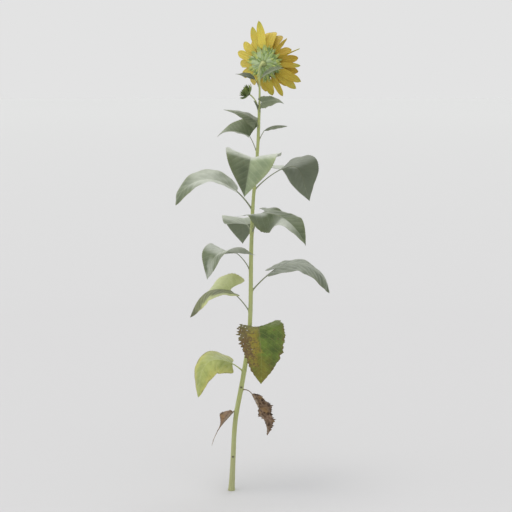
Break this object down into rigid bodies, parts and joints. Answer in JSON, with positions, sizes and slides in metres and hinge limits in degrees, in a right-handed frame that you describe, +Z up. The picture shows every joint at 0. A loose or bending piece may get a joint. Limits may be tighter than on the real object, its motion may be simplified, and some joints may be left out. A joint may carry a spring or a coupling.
{
  "type": "sunflower plant",
  "caption": "A rooted sunflower in bloom: one tall leaning stem with broad drooping leaves, dried lower leaves, a side bud and a single flower head facing backwards.",
  "frame": {"origin": "centre of the flat cut under the stem, at ground level", "axes": "+Z up, +X to the right of the front view, +Y to the back, the way the flower head looks"},
  "size_m": [0.5834, 0.3597, 1.7994],
  "materials": {
    "stem": "ribbed green stem with stiff hairs",
    "leaf": "dull green leaf with a pale sheen",
    "pale_leaf": "yellow-green ageing leaf",
    "patchy_leaf": "green leaf with yellow and withered patches",
    "dry_leaf": "dry brown leaf",
    "bract": "green bracts with pale tips",
    "ray": "golden yellow petal",
    "disc": "brown florets"
  },
  "bodies": {
    "root": {"stem": "stem", "leaf_front": "leaf", "leaf_left": "leaf", "leaf_right_back": "leaf", "leaf_back": "leaf", "leaf_right_front": "leaf", "leaf_left_front": "leaf", "leaf_right_low": "leaf", "leaf_left_low": "pale_leaf", "leaf_patchy": "patchy_leaf", "leaf_yellow": "pale_leaf", "leaf_upper_left": "leaf", "leaf_upper_left_low": "leaf", "leaf_upper_right": "leaf", "leaf_neck_left": "leaf", "leaf_neck_right": "leaf", "leaf_neck_back": "leaf", "leaf_under_head": "leaf", "leaf_dry_left": "dry_leaf", "leaf_dry_right": "dry_leaf", "side_bud": "bract", "flower_base": "bract", "seed_disc": "disc", "ray_01": "ray", "ray_02": "ray", "ray_03": "ray", "ray_04": "ray", "ray_05": "ray", "ray_06": "ray", "ray_07": "ray", "ray_08": "ray", "ray_09": "ray", "ray_10": "ray", "ray_11": "ray", "ray_12": "ray", "ray_13": "ray", "ray_14": "ray", "ray_15": "ray", "ray_16": "ray", "ray_17": "ray", "ray_18": "ray", "ray_19": "ray", "ray_20": "ray", "ray_21": "ray", "ray_22": "ray", "ray_23": "ray", "ray_24": "ray"}
  },
  "joints": []
}
